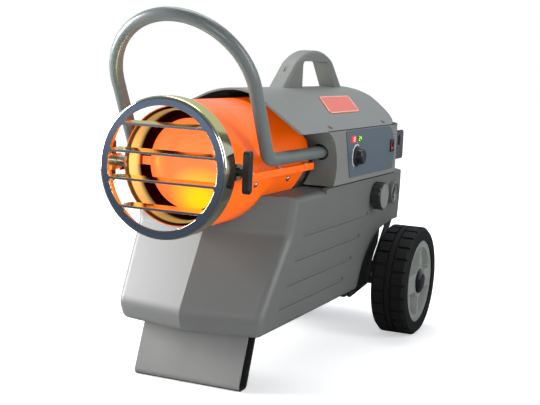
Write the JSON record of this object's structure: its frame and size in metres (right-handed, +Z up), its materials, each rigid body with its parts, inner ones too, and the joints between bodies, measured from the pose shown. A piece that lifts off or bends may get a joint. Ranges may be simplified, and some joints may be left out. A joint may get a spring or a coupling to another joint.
{
  "type": "forced air heater",
  "caption": "Oil-fired forced air heater: a drum with a tilting outlet grille over a moulded fuel tank, with a hood, control panel, tow handle, carry handle, wheels and a front foot.",
  "frame": {"origin": "on the floor, at the middle of the width and of the length", "axes": "+X towards the control panel side, +Y from the hot air outlet to the rear, +Z up"},
  "size_m": [0.4826, 0.826, 0.6176],
  "materials": {
    "orange_enamel": "semi-gloss heat-resistant orange enamel",
    "tank_plastic": "fine-grained grey moulded polyethylene",
    "hood_plastic": "fine-grained grey moulded plastic",
    "dark_plastic": "black moulded plastic",
    "grille_steel": "blue-grey bright plated steel",
    "flame_steel": "heat-tinted stainless sheet",
    "zinc_steel": "zinc-plated steel",
    "tube_steel": "satin grey-green powder-coated steel tube",
    "foot_steel": "light grey powder-coated sheet",
    "bracket_steel": "black powder-coated steel",
    "motor_paint": "dark grey stove enamel",
    "badge_plastic": "bare salmon plastic plate",
    "panel_plastic": "slate blue-grey panel sheet",
    "red_window": "clear red display window, lit",
    "green_window": "clear green display window, lit",
    "red_plastic": "glossy red plastic",
    "lens": "clear polycarbonate",
    "needle_red": "red plastic",
    "board_green": "green circuit board",
    "fan_metal": "pressed aluminium",
    "nozzle_brass": "turned brass",
    "line_metal": "drawn copper tube",
    "electrode_ceramic": "glazed white ceramic",
    "tyre_rubber": "black foam-filled rubber",
    "rim_plastic": "grey moulded wheel centre",
    "cap_plastic": "black moulded cap"
  },
  "bodies": {
    "heater_body": {"fuel_tank": "tank_plastic", "filler_neck": "dark_plastic", "gauge_housing": "dark_plastic", "gauge_lens": "lens", "drain_plug": "dark_plastic", "drum_upper_shell": "orange_enamel", "drum_lower_shell": "orange_enamel", "drum_screws": "zinc_steel", "pivot_bosses": "zinc_steel", "fan_shroud": "zinc_steel", "flame_tube": "flame_steel", "flame_disc": "flame_steel", "burner_head": "flame_steel", "fuel_nozzle": "nozzle_brass", "igniter_electrodes": "electrode_ceramic", "flame_sensor": "dark_plastic", "motor": "motor_paint", "air_pump": "fan_metal", "motor_bracket": "zinc_steel", "fuel_line": "line_metal", "hood": "hood_plastic", "carry_handle": "hood_plastic", "badge_plate": "badge_plastic", "right_housing": "hood_plastic", "left_housing": "hood_plastic", "cover_screws": "zinc_steel", "control_panel": "panel_plastic", "temperature_window": "red_window", "setpoint_window": "green_window", "thermostat": "dark_plastic", "switch_bezel": "dark_plastic", "control_board": "board_green", "ignition_transformer": "dark_plastic", "intake_guard": "bracket_steel", "cord_hooks": "bracket_steel", "cord_gland": "dark_plastic", "handle_bushes": "dark_plastic", "handle_guides": "dark_plastic", "front_foot": "foot_steel", "foot_screws": "zinc_steel", "axle": "zinc_steel", "axle_bracket": "bracket_steel", "hub_caps": "cap_plastic"},
    "outlet_grille": {"grille_ring": "grille_steel", "grille_louvres": "grille_steel", "grille_arms": "grille_steel"},
    "clamp_knob_left": {"clamp_knob_left": "dark_plastic"},
    "clamp_knob_right": {"clamp_knob_right": "dark_plastic"},
    "thermostat_knob": {"thermostat_knob": "dark_plastic"},
    "power_rocker": {"power_rocker": "red_plastic"},
    "fuel_cap": {"fuel_cap": "cap_plastic"},
    "fuel_float": {"gauge_needle": "needle_red", "gauge_float": "dark_plastic"},
    "fan": {"fan": "fan_metal", "motor_shaft": "zinc_steel"},
    "tow_handle": {"tow_handle": "tube_steel"},
    "wheel_left": {"tyre_left": "tyre_rubber", "rim_left": "rim_plastic"},
    "wheel_right": {"tyre_right": "tyre_rubber", "rim_right": "rim_plastic"}
  },
  "joints": [
    {"name": "tow_handle_slide", "type": "slide", "parent": "heater_body", "child": "tow_handle", "axis": [0, 1, 0], "range_m": [0, 0.07]},
    {"name": "grille_tilt", "type": "hinge", "parent": "heater_body", "child": "outlet_grille", "pos_m": [0, -0.361, 0.37], "axis": [1, 0, 0], "range_deg": [-15, 15]},
    {"name": "clamp_knob_left_turn", "type": "hinge", "parent": "heater_body", "child": "clamp_knob_left", "pos_m": [-0.115, -0.361, 0.37], "axis": [1, 0, 0], "range_deg": [0, 180]},
    {"name": "clamp_knob_right_turn", "type": "hinge", "parent": "heater_body", "child": "clamp_knob_right", "pos_m": [0.115, -0.361, 0.37], "axis": [1, 0, 0], "range_deg": [0, 180]},
    {"name": "thermostat_turn", "type": "hinge", "parent": "heater_body", "child": "thermostat_knob", "pos_m": [0.158, 0.041, 0.372], "axis": [1, 0, 0], "range_deg": [0, 270]},
    {"name": "power_rocker_tilt", "type": "hinge", "parent": "heater_body", "child": "power_rocker", "pos_m": [0.1525, 0.247, 0.381], "axis": [0, 1, 0], "range_deg": [0, 16]},
    {"name": "fuel_cap_turn", "type": "hinge", "parent": "heater_body", "child": "fuel_cap", "pos_m": [0.16, 0.171, 0.286], "axis": [1, 0, 0], "range_deg": [0, 90]},
    {"name": "fuel_float_swing", "type": "hinge", "parent": "heater_body", "child": "fuel_float", "pos_m": [0.14, 0.275, 0.282], "axis": [1, 0, 0], "range_deg": [-22, 40]},
    {"name": "fan_spin", "type": "hinge", "parent": "heater_body", "child": "fan", "pos_m": [0, 0.049, 0.37], "axis": [0, 1, 0], "continuous": true},
    {"name": "wheel_left_spin", "type": "hinge", "parent": "heater_body", "child": "wheel_left", "pos_m": [-0.2, 0.247, 0.11], "axis": [1, 0, 0], "continuous": true},
    {"name": "wheel_right_spin", "type": "hinge", "parent": "heater_body", "child": "wheel_right", "pos_m": [0.2, 0.247, 0.11], "axis": [1, 0, 0], "continuous": true}
  ]
}
